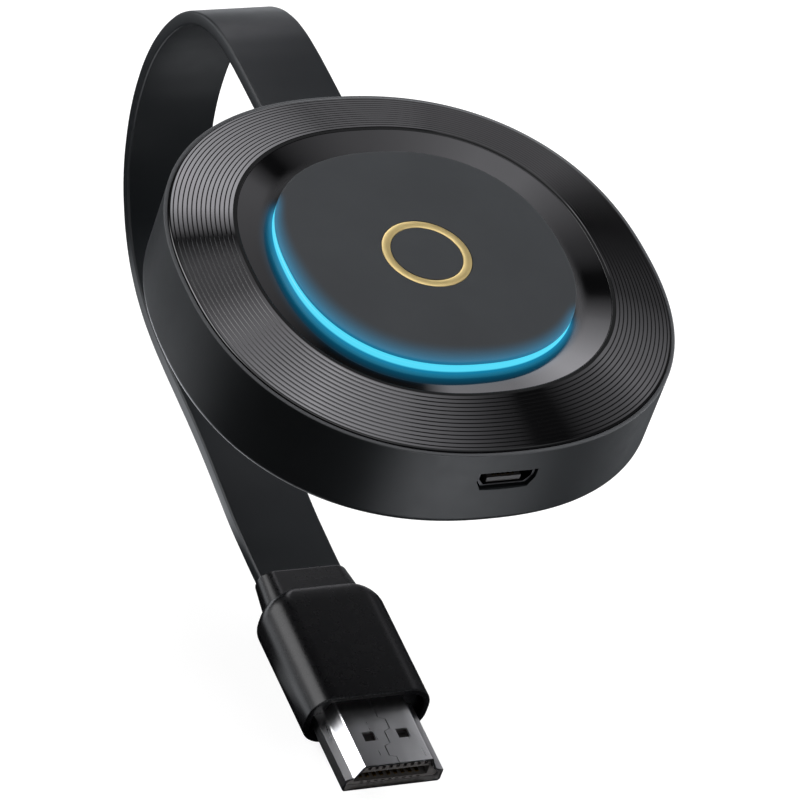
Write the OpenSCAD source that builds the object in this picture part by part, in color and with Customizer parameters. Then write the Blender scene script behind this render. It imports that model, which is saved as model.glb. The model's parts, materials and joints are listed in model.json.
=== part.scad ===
// Wireless display adapter: a rounded-square puck on a short flat cable with a full-size display plug.
// Frame: the origin is the centre of the plug's metal shell in the plane of its overmould's front rim.
// +Z is up, and -Y is the way that the plug goes into a display's socket. All lengths are millimetres.

/* [Puck] */
// Width of the puck across its flat sides
puck_w = 64; // [60:0.5:72]
// Squareness of the outline, where 2 is a circle
outline_power = 2.28; // [2.1:0.01:2.6]
// Height of the base shell's wall
wall_h = 12; // [11.6:0.1:14]
// Thickness of the base shell's wall
wall_t = 1.6; // [1.3:0.1:2]
// Thickness of the base shell's floor
floor_t = 1.5; // [1:0.1:2.2]
// Radius of the base shell's lower edge
foot_r = 1.2; // [0.6:0.1:2]
// Thickness of the rim that shows round the ridged ring
rim_t = 0.5; // [0.4:0.05:0.8]
// Height of the puck's underside above the plug's centre
puck_z = 45.3; // [44:0.1:50]
// Distance from the plug's front rim back to the puck's centre
puck_y = 22.8; // [20:0.1:26]

/* [Ridged ring] */
// Width of the ridged band from its outer edge in to the dish
ring_band_w = 8; // [7:0.1:9]
// Number of concentric ridges
ridge_count = 14; // [8:1:16]
// Height of each ridge above its grooves
ridge_h = 0.16; // [0.08:0.01:0.3]
// Rise of the ring from its outer edge to its inner edge
ring_rise = 2.05; // [1.6:0.05:2.6]
// Thickness of the ring's wall
ring_t = 1.3; // [1:0.1:1.6]
// Width of the plain land at the ring's inner edge
ring_land_w = 0.43; // [0.3:0.01:0.7]
// Depth of the skirt that locates the ring in the base shell
ring_skirt_h = 1.2; // [0.8:0.1:1.6]

/* [Dish and light] */
// Width of the dish between the ridged ring and the light guide
dish_w = 4.5; // [4:0.1:5]
// Depth of the dish below the ring's inner edge
dish_depth = 1.05; // [0.7:0.05:1.4]
// Width of the ledge that carries the dish
dish_ledge_w = 1.05; // [0.8:0.05:1.4]
// Width of the light guide's ring
guide_w = 0.95; // [0.7:0.05:1.2]
// Height of the light guide's ring
guide_h = 3.05; // [2.8:0.05:3.3]
// Height of the light guide's side that shows above the dish
light_line_h = 0.8; // [0.6:0.05:1]
// Radius of each light post
light_post_r = 0.9; // [0.7:0.05:1.1]

/* [Button] */
// Thickness of the button's lip over the light guide
button_lip_t = 0.4; // [0.35:0.05:0.6]
// Crown of the button above its edge
button_crown = 0.25; // [0.15:0.05:0.6]
// Thickness of the button's skin
button_t = 1.2; // [1:0.1:1.4]
// Gap all round between the button's skirt and the light guide
button_gap = 0.25; // [0.2:0.05:0.4]
// Distance that the button is pressed
button_travel = 0.4; // [0.3:0.05:0.5]
// Mean radius of the gold ring on the button
gold_ring_r = 5.25; // [4:0.05:7]
// Width of the gold ring's band
gold_ring_w = 1.1; // [0.8:0.05:1.6]
// Thickness of the gold ring
gold_ring_t = 0.4; // [0.3:0.05:0.5]

/* [Circuit board] */
// Gap between the circuit board and the base shell's wall
board_gap = 1.4; // [1:0.1:2]
// Thickness of the circuit board
board_t = 1.2; // [1:0.1:1.4]
// Depth of the board's underside below the top of the base shell's wall
board_drop = 7; // [6.8:0.1:7.4]
// Distance from the board's edge in to each board screw
screw_inset = 5.75; // [5.5:0.25:6.5]
// Radius of a screw's shank
screw_r = 0.8; // [0.7:0.05:0.9]
// Radius of a screw's head
screw_head_r = 1.7; // [1.5:0.05:1.9]
// Height of the board screws' tips above the base shell's floor
screw_tip_h = 0.5; // [0.4:0.1:1]

/* [Power socket] */
// Width of the socket's mouth at its top, outside
socket_w = 7.7; // [7.2:0.1:7.8]
// Height of the socket's mouth, outside
socket_h = 2.45; // [2.3:0.05:2.6]
// Length of the socket's metal shell
socket_len = 5.2; // [4.8:0.1:5.6]
// Thickness of the socket's sheet metal
socket_t = 0.3; // [0.2:0.05:0.35]
// Depth of the socket's mouth behind the wall's outside
socket_set_back = 0.5; // [0.3:0.05:0.8]

/* [Flat cable] */
// Width of the flat cable
cable_w = 12; // [11:0.1:12.6]
// Thickness of the flat cable
cable_t = 2.2; // [1.8:0.1:2.4]
// Depth of the cable's centreline at its exit below the top of the base shell's wall
cable_drop = 7; // [6.8:0.1:7.2]

/* [Display plug] */
// Width of the plug's metal shell
plug_w = 13.9; // [13.8:0.05:14]
// Height of the plug's metal shell
plug_h = 4.45; // [4.4:0.05:4.5]
// Length of the plug's metal shell in front of the overmould
plug_len = 10; // [9:0.1:12]
// Thickness of the plug's sheet metal
plug_t = 0.3; // [0.25:0.05:0.35]
// Distance from the plug's side in to the edge of its narrow upper face
plug_top_inset = 2.1; // [1.9:0.05:2.2]
// Distance that the overmould stands out past each side of the plug's shell
grip_side = 1.8; // [1.6:0.05:2.4]
// Distance that the overmould stands out over and under the plug's shell
grip_over = 2.075; // [1.8:0.025:2.6]
// Length of the overmould
overmould_len = 19.2; // [17:0.1:19.2]
// Radius of the overmould's long edges
overmould_r = 3.7; // [3:0.1:3.9]
// Length of the strain relief behind the overmould
boot_len = 5.2; // [4.8:0.1:7]
// Number of contacts in the plug's upper row, one more than in its lower row
contact_count = 10; // [6:1:10]

/* [Hidden] */

// Overrun of every cut past the face that it opens
over = 0.5;
// Clearance between fixed pieces that meet
fit_gap = 0.05;
// Radial clearance of the switch's plunger in its body
plunger_gap = 0.05;
// Facets round the rounded-square outline and round the circular pieces
outline_n = 72;
round_n = 48;
// Steps along each quarter of a rounded section, and along each edge radius
corner_n = 7;
edge_n = 3;

// The puck's half widths, from the outside in
puck_hw = puck_w / 2;
cavity_hw = puck_hw - wall_t;
ring_hw = puck_hw - rim_t - fit_gap;
ring_in_hw = ring_hw - ring_band_w;
ledge_in_hw = ring_in_hw - dish_ledge_w;
dish_out_hw = ring_in_hw - fit_gap;
dish_in_hw = dish_out_hw - dish_w;
guide_out_hw = dish_in_hw - fit_gap;
guide_in_hw = guide_out_hw - guide_w;
button_hw = guide_in_hw - button_gap;
board_hw = cavity_hw - board_gap;

// Heights above the puck's underside
ring_seat_z = wall_h - 0.65 * ring_t;
ring_edge_z = wall_h + fit_gap;
ring_top_z = ring_edge_z + ring_rise;
ledge_z = ring_top_z - ring_t;
ledge_under_z = ledge_z - 0.9 * ring_t;
dish_low_z = ring_top_z - dish_depth;
dish_under_z = ledge_z - 0.75 * ring_t;
guide_top_z = dish_low_z + light_line_h;
guide_low_z = guide_top_z - guide_h;
flange_top_z = dish_under_z - fit_gap;
button_lip_z = guide_top_z + button_travel + fit_gap;
button_edge_z = button_lip_z + button_lip_t;
button_top_z = button_edge_z + button_crown;
board_z = wall_h - board_drop;
board_top_z = board_z + board_t;
cable_exit_z = wall_h - cable_drop;

// Flange that bonds the light guide under the dish
guide_flange_w = 1.2;
guide_flange_t = 0.75;
// Clearance over the lamps for the light posts
lamp_gap = 0.3;
// Size of an indicator lamp, along and across the light guide, and its height
lamp_size = [3, 1.4, 0.9];
// Bearings of the lamps round the button, on the sides where the light shows
lamp_angles = [165, 185, 205, 245, 265, 288];

// Skirt of the button and the tabs that stop it under the light guide
tab_w = 6;
tab_reach = 0.75;
tab_t = 0.7;
tab_gap = 0.1;
button_skirt_z = guide_low_z - tab_gap - tab_t;
button_edge_r = 0.25;
button_skirt_t = 1.1;
tab_angles = [45, 135, 225, 315];
button_stem_r = 2;
button_rib_t = 1;
button_rib_h = 1.2;
gold_out_r = gold_ring_r + gold_ring_w / 2;
gold_in_r = gold_ring_r - gold_ring_w / 2;

// Push switch under the button's stem
switch_w = 6;
switch_h = 3.4;
plunger_r = 1.75;
plunger_h = 1.6;
plunger_floor_gap = 0.1;
plunger_reach = 0.85;
plunger_top_z = board_top_z + switch_h + plunger_reach;
plunger_z = plunger_top_z - plunger_h;
switch_well_z = plunger_z - button_travel - plunger_floor_gap;
switch_leg = [1, 1.4, 0.3];

// Screw posts and screws
screw_angles = [38.3, 141.7, 218.3, 321.7];
screw_len = board_top_z - floor_t - screw_tip_h;
post_r = 2.6;
pilot_gap = 0.05;
screw_hole_gap = 0.3;
screw_head_h = 1.1;
screw_slot_w = 0.4;
screw_slot_h = 0.5;
screw_tip_gap = 0.3;

// Straight back edge of the board, and the centre, length and width of each chip on it, as shares of its
// half width
board_back_share = 0.672;
processor_share = [0, 0.33, 0.38, 0.38];
pad_share = [0, 0.33, 0.35, 0.35];
spreader_share = [0, 0.33, 0.7, 0.38];
memory_share = [-0.36, 0.28, 0.24, 0.32];
flash_share = [-0.4, -0.12, 0.2, 0.17];
shield_share = [0.42, 0.22, 0.3, 0.36];
coil_share = [0.3, -0.4, 0.17, 0.17];
crystal_share = [-0.3, -0.37, 0.26, 0.12];
antenna_share = [0.8, -0.14, 0.01, 0.4];
// Rows of chip capacitors, as the first one's place in shares of the board's half width, and how many
capacitor_row_shares = [[-0.2, -0.27, 5], [0.2, -0.27, 3], [0.26, -0.08, 4], [-0.77, -0.22, 2],
    [-0.15, -0.8, 5]];
capacitor_pitch_share = 0.075;
board_back_y = board_back_share * board_hw;

// Heights of the chips, and what is cut in them
chip_lift = fit_gap;
processor_h = 1.2;
pad_h = 0.5;
spreader_h = 1;
spreader_slot_w = 1;
spreader_slots = 4;
memory_h = 1;
flash_h = 0.9;
shield_h = 1.2;
shield_t = 0.25;
coil_h = 2.2;
coil_wall_share = 0.18;
coil_groove_w = 0.4;
crystal_h = 2.2;
capacitor_size = [0.9, 1.6, 0.8];
antenna_h = 3;
antenna_leg_w = 1.5;

// Vents in the floor below the processor
vent_count = 7;
vent_w = 1.2;
vent_len = 15;
vent_pitch = 2.8;

// Power socket
socket_taper = 0.8;
socket_side_h = 1.2;
socket_hole_gap = 0.15;
tongue_side_gap = 1.55;
tongue_w = socket_w - 2 * tongue_side_gap;
tongue_h = 0.75;
tongue_reach = 3.6;
socket_contact_n = 5;
socket_contact_w = 0.35;
socket_contact_t = 0.12;
socket_contact_pitch = 0.65;

// Cable inside the puck, its clamp and the wires to the board
tail_len = 9.5;
tail_end_y = puck_hw - tail_len;
slot_gap = 0.1;
cable_edge_r = 0.9;
clamp_inset = 6.2;
clamp_y = puck_hw - clamp_inset;
clamp_post_r = 2;
clamp_post_gap = 0.9;
clamp_end_w = 0.4;
clamp_screw_x = cable_w / 2 + clamp_post_gap + clamp_post_r;
clamp_depth = 3.6;
clamp_h = 2;
clamp_grip = 2.2;
clamp_z = cable_exit_z + cable_t / 2 + fit_gap;
wire_n = 8;
wire_w = 0.7;
wire_t = 0.45;
wire_side_gap = 0.6;
wire_pitch = (cable_w - 2 * wire_side_gap) / wire_n;
wire_lap = 2.1;
wire_end_y = board_back_y - wire_lap;
wire_step = 0.5;

// Display plug
plug_top_w = plug_w - 2 * plug_top_inset;
plug_edge = 0.3;
plug_side_h = 2.05;
plug_shoulder_w = 1.2;
plug_shoulder_h = 0.4;
plug_tail = 5;
plug_latch = [1.8, 1.5];
plug_latch_x = 2.4;
plug_latch_y = 4.8;
insulator_set_back = 0.7;
mouth_side_w = 1.75;
mouth_w = plug_w - 2 * mouth_side_w;
mouth_h = 1.6;
mouth_lip_t = 0.475;
mouth_z = -plug_h / 2 + plug_t + fit_gap + mouth_lip_t + mouth_h / 2;
mouth_depth = 7.2;
contact_w = 0.42;
contact_t = 0.18;
contact_side_gap = 0.2;
contact_pitch = (mouth_w - 2 * contact_side_gap) / contact_count;
contact_set_back = 0.5;
overmould_w = plug_w + 2 * grip_side;
overmould_h = plug_h + 2 * grip_over;
recess_rim = 0.8;
recess_depth = 1.2;
overmould_edge = 0.25;
overmould_back_r = 3.2;
overmould_back_edge = 0.8;
boot_front_over = [2, 3];
boot_back_over = [0.9, 1.3];
boot_front = [cable_w, cable_t] + boot_front_over;
boot_back = [cable_w, cable_t] + boot_back_over;
boot_front_r = 2.3;
boot_back_r = 1.6;
boot_edge = 0.35;

// Route of the flat cable's centreline from the puck to the strain relief, in the plane X = 0
route = [[54.8, 50.3], [58.5, 50.3], [62.5, 50.3], [66.5, 50.3], [70.5, 50.2], [74.5, 49.8], [78.2, 48.8],
    [81.6, 47], [84.6, 44.3], [87, 40.8], [88.8, 36.8], [89.9, 32.5], [90.2, 28], [89.8, 23.5], [88.6, 19],
    [86.6, 14.6], [83.8, 10.8], [80.4, 7.6], [76.5, 5.2], [72.2, 3.6], [67.5, 2.7], [62.5, 2.3], [57, 2.1],
    [51.5, 1.9], [46, 1.5], [40.5, 0.9], [35, 0.3], [30.5, 0.1], [27, 0], [24.4, 0]];

// Corner-to-centre distance of the rounded square of half width w at bearing a
function outline_r(w, a) = w / pow(pow(abs(cos(a)), outline_power) + pow(abs(sin(a)), outline_power),
    1 / outline_power);
function outline_at(w, a) = outline_r(w, a) * [cos(a), sin(a)];
function outline(w) = [for (i = [0:outline_n - 1]) outline_at(w, 360 * i / outline_n)];

// Rounded rectangle, anticlockwise, whose corners leave a narrow flat on every side
function rounded(w, h, corner_r, n) = [for (q = [0:3]) for (i = [0:n - 1])
    let (a = 90 * q + 90 * i / (n - 1), r = min(corner_r, w / 2 - fit_gap, h / 2 - fit_gap))
    [(q == 0 || q == 3 ? 1 : -1) * (w / 2 - r) + r * cos(a), (q < 2 ? 1 : -1) * (h / 2 - r) + r * sin(a)]];

// Section of the ring's upper face: valleys and crests by turns, from the outer edge to the inner land
ridge_out_hw = ring_hw;
ridge_in_hw = ring_in_hw + ring_land_w;
ridge_pitch = (ridge_out_hw - ridge_in_hw) / ridge_count;
function ring_z(w) = ring_edge_z + ring_rise * (ring_hw - w) / (ring_hw - ring_in_hw);
function ridge_profile() = [for (i = [0:2 * ridge_count])
    let (w = ridge_out_hw - ridge_pitch * i / 2)
    [w, ring_z(w) + (i % 2 == 1 ? ridge_h : 0)]];

// Solid between rings of points that are anticlockwise seen from the last ring's side
module loft(rings) {
    n = len(rings[0]);
    m = len(rings);
    sides = [for (j = [0:m - 2]) for (i = [0:n - 1])
        let (k = (i + 1) % n)
        [j * n + i, (j + 1) * n + i, (j + 1) * n + k, j * n + k]];
    low = [for (i = [0:n - 1]) i];
    high = [for (i = [0:n - 1]) m * n - 1 - i];
    polyhedron([for (ring = rings) for (p = ring) p], concat([low], sides, [high]), convexity = 6);
}

// Closed band that follows the puck's outline, from an anticlockwise section of half widths and heights
module outline_band(section) {
    m = len(section);
    points = [for (i = [0:outline_n - 1]) for (s = section)
        let (p = outline_at(s[0], 360 * i / outline_n))
        [p[0], p[1], s[1]]];
    faces = [for (i = [0:outline_n - 1]) for (j = [0:m - 1])
        let (i2 = (i + 1) % outline_n, j2 = (j + 1) % m)
        [i * m + j, i * m + j2, i2 * m + j2, i2 * m + j]];
    polyhedron(points, faces, convexity = 8);
}

// Solid of the puck's outline, from half widths and heights listed upwards
module outline_solid(steps) loft([for (s = steps) [for (p = outline(s[0])) [p[0], p[1], s[1]]]]);

module outline_slab(w, z0, z1) translate([0, 0, z0]) linear_extrude(z1 - z0) polygon(outline(w));

module in_puck() translate([0, puck_y, puck_z]) children();

// Extrudes an outline drawn in X and Z from y0 to y1
module along_y(y0, y1) translate([0, y1, 0]) rotate([90, 0, 0]) linear_extrude(y1 - y0) children();

module block(at, size, z) translate([at[0] - size[0] / 2, at[1] - size[1] / 2, z]) cube(size);

// Place of a chip's centre, and its length and width, from its shares of the board's half width
function chip_at(share) = board_hw * [share[0], share[1]];
function chip_plan(share) = board_hw * [share[2], share[3]];
module chip(share, h, z) block(chip_at(share), concat(chip_plan(share), [h]), z);

// Places of the board's screws, and of the clamp's two screws
screw_places = [for (a = screw_angles) outline_at(board_hw - screw_inset, a)];
clamp_places = [for (x = [-clamp_screw_x, clamp_screw_x]) [x, clamp_y]];

module at_height(place, z) translate([place[0], place[1], z]) children();

// Screw whose head stands on the height z
module screw(place, z, long) {
    slot_len = 1.4 * screw_head_r;
    at_height(place, z) difference() {
        cylinder(h = screw_head_h, r = screw_head_r, $fn = round_n);
        for (turn = [0, 90]) rotate([0, 0, turn])
            translate([-slot_len / 2, -screw_slot_w / 2, screw_head_h - screw_slot_h])
                cube([slot_len, screw_slot_w, screw_slot_h + over]);
    }
    at_height(place, z - long) cylinder(h = long, r = screw_r, $fn = round_n);
}

// Pilot hole for a screw whose head stands on the height z
module pilot(place, z, long) at_height(place, z - long - screw_tip_gap)
    cylinder(h = long, r = screw_r + pilot_gap, $fn = round_n);

// Outside of the power socket's mouth, wide side up, grown by g
function socket_outline(g) = let (w = socket_w / 2 + g, h = socket_h + g, b = socket_w / 2 - socket_taper + g)
    [[-b, -g], [b, -g], [w, socket_h - socket_side_h], [w, h], [-w, h], [-w, socket_h - socket_side_h]];

// Outside of the display plug, narrow face up, grown by g
function plug_half(g) = let (w = plug_w / 2 + g, h = plug_h / 2 + g, s = -plug_h / 2 + plug_side_h)
    [[w - plug_edge, -h], [w, -h + plug_edge], [w, s + g / 2],
        [plug_w / 2 - plug_shoulder_w + g, s + plug_shoulder_h + g / 2], [plug_top_w / 2 + g / 2, h]];
function plug_outline(g) = let (half = plug_half(g), n = len(half))
    concat(half, [for (i = [0:n - 1]) [-half[n - 1 - i][0], half[n - 1 - i][1]]]);

// Slot through the floor with round ends, at the given distance from the centre line
module vent(x) translate([x, chip_at(processor_share)[1] - vent_len / 2, -over]) {
    translate([-vent_w / 2, 0, 0]) cube([vent_w, vent_len, floor_t + 2 * over]);
    for (y = [0, vent_len]) translate([0, y, 0])
        cylinder(h = floor_t + 2 * over, r = vent_w / 2, $fn = round_n / 2);
}

module base_shell() color([0.09, 0.095, 0.1]) in_puck() {
    socket_z = board_top_z + chip_lift;
    difference() {
        union() {
            difference() {
                outline_solid(concat(
                    [for (i = [0:edge_n]) let (a = 90 * i / edge_n)
                        [puck_hw - foot_r * (1 - sin(a)), foot_r * (1 - cos(a))]],
                    [[puck_hw, wall_h]]));
                outline_slab(cavity_hw, floor_t, wall_h + over);
                outline_slab(puck_hw - rim_t, ring_seat_z, wall_h + over);
            }
            for (place = screw_places) at_height(place, floor_t - fit_gap)
                cylinder(h = board_z - floor_t + fit_gap, r = post_r, $fn = round_n);
            for (place = clamp_places) at_height(place, floor_t - fit_gap)
                cylinder(h = cable_exit_z + cable_t / 2 - floor_t + fit_gap, r = clamp_post_r, $fn = round_n);
            block([0, clamp_y], [cable_w, clamp_depth, cable_exit_z - cable_t / 2 - floor_t],
                floor_t - fit_gap);
        }
        for (place = screw_places) pilot(place, board_top_z, screw_len);
        for (place = clamp_places) pilot(place, clamp_z + clamp_h, clamp_h + clamp_grip);
        along_y(-puck_hw - over, -cavity_hw + over) translate([0, socket_z])
            polygon(socket_outline(socket_hole_gap));
        along_y(cavity_hw - over - wall_t, puck_hw + over) translate([0, cable_exit_z])
            polygon(rounded(cable_w + 2 * slot_gap, cable_t + 2 * slot_gap, cable_edge_r, corner_n));
        for (i = [0:vent_count - 1])
            vent((i - (vent_count - 1) / 2) * vent_pitch);
    }
}

module ridged_ring() color([0.03, 0.03, 0.033]) in_puck() outline_band(concat(
    [[ring_hw, ring_seat_z + fit_gap]],
    ridge_profile(),
    [[ring_in_hw, ring_top_z], [ring_in_hw, ledge_z], [ledge_in_hw, ledge_z], [ledge_in_hw, ledge_under_z],
        [ring_in_hw + ring_t, ledge_under_z], [cavity_hw - fit_gap - ring_t, ring_seat_z - ring_t / 2],
        [cavity_hw - fit_gap - ring_t, ring_seat_z - ring_skirt_h],
        [cavity_hw - fit_gap, ring_seat_z - ring_skirt_h], [cavity_hw - fit_gap, ring_seat_z + fit_gap]]));

module dish_ring() color([0.02, 0.02, 0.025]) in_puck() {
    // The dish falls along a quarter curve from the ring's edge to the light guide
    span = dish_out_hw - dish_in_hw;
    drop = ring_top_z - fit_gap - dish_low_z;
    fall = [for (i = [0:2 * edge_n]) let (a = 90 * i / (2 * edge_n))
        [dish_in_hw + span * (1 - sin(a)), dish_low_z + drop * (1 - sin(a)) * cos(a)]];
    outline_band(concat(
        [[dish_in_hw, dish_under_z], [ledge_in_hw - fit_gap, dish_under_z],
            [ledge_in_hw - fit_gap, ledge_z + fit_gap], [dish_out_hw, ledge_z + fit_gap]],
        fall));
}

module light_guide() color([0.25, 0.78, 0.95]) in_puck() {
    difference() {
        outline_slab(guide_out_hw, guide_low_z, guide_top_z);
        outline_slab(guide_in_hw, guide_low_z - over, guide_top_z + over);
    }
    difference() {
        outline_slab(guide_out_hw + guide_flange_w, flange_top_z - guide_flange_t, flange_top_z);
        outline_slab(guide_out_hw - fit_gap, flange_top_z - guide_h, flange_top_z + over);
    }
    for (a = lamp_angles) {
        at = outline_at(guide_in_hw + light_post_r, a);
        post_z = board_top_z + lamp_size[2] + lamp_gap;
        translate([at[0], at[1], post_z])
            cylinder(h = guide_low_z - post_z + fit_gap, r = light_post_r - fit_gap, $fn = round_n / 2);
    }
}

module button_cap() color([0.13, 0.135, 0.14]) in_puck() {
    inner_hw = button_hw - button_skirt_t;
    difference() {
        outline_solid([
            [button_hw, button_skirt_z], [button_hw, button_lip_z], [guide_out_hw, button_lip_z],
            [guide_out_hw, button_edge_z - button_edge_r],
            [guide_out_hw - button_edge_r * 0.3, button_edge_z - button_edge_r * 0.3],
            [guide_out_hw - button_edge_r, button_edge_z],
            [guide_out_hw * 0.8, button_edge_z + button_crown * 0.45],
            [guide_out_hw * 0.55, button_edge_z + button_crown * 0.78],
            [guide_out_hw * 0.2, button_top_z]]);
        outline_slab(inner_hw, button_skirt_z - over, button_edge_z - button_t);
        translate([0, 0, button_top_z - gold_ring_t]) difference() {
            cylinder(h = gold_ring_t + over, r = gold_out_r + fit_gap, $fn = round_n);
            translate([0, 0, -over])
                cylinder(h = gold_ring_t + 3 * over, r = gold_in_r - fit_gap, $fn = round_n);
        }
    }
    translate([0, 0, plunger_top_z])
        cylinder(h = button_edge_z - button_t - plunger_top_z + fit_gap, r = button_stem_r, $fn = round_n);
    for (turn = [0:90:270]) rotate([0, 0, turn])
        translate([button_stem_r / 2, -button_rib_t / 2, button_edge_z - button_t - button_rib_h])
            cube([inner_hw - button_stem_r / 2 + fit_gap, button_rib_t, button_rib_h + fit_gap]);
    for (a = tab_angles) rotate([0, 0, a])
        translate([outline_r(button_hw, a) - button_skirt_t, -tab_w / 2, button_skirt_z])
            cube([button_skirt_t + tab_reach, tab_w, tab_t]);
}

module gold_ring() color([0.83, 0.63, 0.25]) in_puck() translate([0, 0, button_top_z - gold_ring_t])
    difference() {
        cylinder(h = gold_ring_t, r = gold_out_r, $fn = round_n);
        translate([0, 0, -over]) cylinder(h = gold_ring_t + 2 * over, r = gold_in_r, $fn = round_n);
    }

module main_board() color([0.05, 0.3, 0.16]) in_puck() difference() {
    outline_slab(board_hw, board_z, board_top_z);
    translate([-2 * board_hw, board_back_y, board_z - over])
        cube([4 * board_hw, 2 * board_hw, board_t + 2 * over]);
    for (place = screw_places) at_height(place, board_z - over)
        cylinder(h = board_t + 2 * over, r = screw_r + screw_hole_gap, $fn = round_n);
}

module board_screws() color([0.75, 0.75, 0.77]) in_puck()
    for (place = screw_places) screw(place, board_top_z, screw_len);

module processor() color([0.08, 0.08, 0.09]) in_puck() chip(processor_share, processor_h, board_top_z);

module thermal_pad() color([0.55, 0.62, 0.7]) in_puck() chip(pad_share, pad_h, board_top_z + processor_h);

module heat_spreader() color([0.72, 0.73, 0.75]) in_puck() {
    z = board_top_z + processor_h + pad_h;
    at = chip_at(spreader_share);
    plan = chip_plan(spreader_share);
    pitch = plan[0] / spreader_slots;
    difference() {
        chip(spreader_share, spreader_h, z);
        for (i = [0:spreader_slots - 1])
            block([at[0] + (i - (spreader_slots - 1) / 2) * pitch, at[1]],
                [spreader_slot_w, 2 * plan[1], spreader_h], z + spreader_h / 2);
    }
}

module memory_chip() color([0.08, 0.08, 0.09]) in_puck() chip(memory_share, memory_h, board_top_z);

module flash_chip() color([0.08, 0.08, 0.09]) in_puck() chip(flash_share, flash_h, board_top_z);

module radio_shield() color([0.7, 0.71, 0.72]) in_puck() difference() {
    plan = chip_plan(shield_share) - [2 * shield_t, 2 * shield_t];
    chip(shield_share, shield_h, board_top_z);
    block(chip_at(shield_share), concat(plan, [shield_h]), board_top_z - shield_t);
}

module antenna() color([0.8, 0.65, 0.35]) in_puck() {
    at = chip_at(antenna_share);
    plan = chip_plan(antenna_share);
    translate([at[0] - plan[0] / 2, at[1] - plan[1] / 2, board_top_z]) {
        for (y = [0, 2 * antenna_leg_w]) translate([0, y, 0]) cube([plan[0], antenna_leg_w, antenna_h]);
        translate([0, 0, antenna_h - antenna_leg_w]) cube([plan[0], plan[1], antenna_leg_w]);
    }
}

module power_coil() color([0.25, 0.25, 0.26]) in_puck() difference() {
    plan = chip_plan(coil_share);
    groove_r = (1 - coil_wall_share) * plan[0] / 2;
    chip(coil_share, coil_h, board_top_z);
    at_height(chip_at(coil_share), board_top_z + coil_h / 2) difference() {
        cylinder(h = coil_h, r = groove_r, $fn = round_n);
        translate([0, 0, -over]) cylinder(h = coil_h + 2 * over, r = groove_r - coil_groove_w, $fn = round_n);
    }
}

module crystal_can() color([0.8, 0.8, 0.82]) in_puck() {
    at = chip_at(crystal_share);
    plan = chip_plan(crystal_share);
    half = (plan[0] - plan[1]) / 2;
    block(at, [2 * half, plan[1], crystal_h], board_top_z);
    for (x = [-half, half]) at_height([at[0] + x, at[1]], board_top_z)
        cylinder(h = crystal_h, r = plan[1] / 2, $fn = round_n);
}

module chip_capacitors() color([0.6, 0.5, 0.38]) in_puck()
    for (row = capacitor_row_shares) for (i = [0:row[2] - 1])
        block(board_hw * [row[0] + i * capacitor_pitch_share, row[1]], capacitor_size, board_top_z);

module indicator_lamps() color([0.9, 0.95, 0.98]) in_puck() for (a = lamp_angles)
    at_height(outline_at(guide_in_hw + light_post_r, a), board_top_z) rotate([0, 0, a + 90])
        block([0, 0], lamp_size, 0);

module switch_body() color([0.12, 0.12, 0.12]) in_puck() {
    difference() {
        block([0, 0], [switch_w, switch_w, switch_h], board_top_z);
        translate([0, 0, switch_well_z])
            cylinder(h = switch_h, r = plunger_r + plunger_gap, $fn = round_n);
    }
    for (x = [-1, 1], y = [-1, 1])
        block([x * (switch_w + switch_leg[0]) / 2, y * switch_w / 3], switch_leg, board_top_z);
}

module switch_plunger() color([0.85, 0.83, 0.78]) in_puck() translate([0, 0, plunger_z])
    cylinder(h = plunger_h, r = plunger_r, $fn = round_n);

module power_socket_shell() color([0.75, 0.76, 0.78]) in_puck() {
    y0 = -puck_hw + socket_set_back;
    translate([0, 0, board_top_z + chip_lift]) difference() {
        along_y(y0, y0 + socket_len) polygon(socket_outline(0));
        along_y(y0 - over, y0 + socket_len - socket_t) polygon(socket_outline(-socket_t));
    }
}

module power_socket_tongue() color([0.2, 0.2, 0.21]) in_puck() {
    back_y = -puck_hw + socket_set_back + socket_len - socket_t - fit_gap;
    z = board_top_z + chip_lift;
    translate([0, 0, z]) along_y(back_y - socket_len + tongue_reach, back_y)
        polygon(socket_outline(-socket_t - fit_gap));
    translate([-tongue_w / 2, back_y - socket_len + 2 * socket_t, z + socket_t + 2 * fit_gap])
        cube([tongue_w, tongue_reach, tongue_h]);
}

module power_socket_contacts() color([0.85, 0.68, 0.3]) in_puck() {
    back_y = -puck_hw + socket_set_back + socket_len - socket_t - fit_gap;
    z = board_top_z + chip_lift + socket_t + 2 * fit_gap + tongue_h;
    long = tongue_reach / 2;
    for (i = [0:socket_contact_n - 1])
        translate([(i - (socket_contact_n - 1) / 2) * socket_contact_pitch - socket_contact_w / 2,
            back_y - socket_len + 3 * socket_t, z])
            cube([socket_contact_w, long, socket_contact_t]);
}

module cable_tail() color([0.05, 0.05, 0.055]) in_puck() along_y(tail_end_y, puck_hw)
    translate([0, cable_exit_z]) polygon(rounded(cable_w, cable_t, cable_edge_r, corner_n));

module cable_clamp() color([0.15, 0.15, 0.16]) in_puck() difference() {
    block([0, clamp_y], [2 * (clamp_screw_x + clamp_post_r + clamp_end_w), clamp_depth, clamp_h], clamp_z);
    for (place = clamp_places) at_height(place, clamp_z - over)
        cylinder(h = clamp_h + 2 * over, r = screw_r + screw_hole_gap, $fn = round_n);
}

module clamp_screws() color([0.75, 0.75, 0.77]) in_puck()
    for (place = clamp_places) screw(place, clamp_z + clamp_h, clamp_h + clamp_grip);

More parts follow.
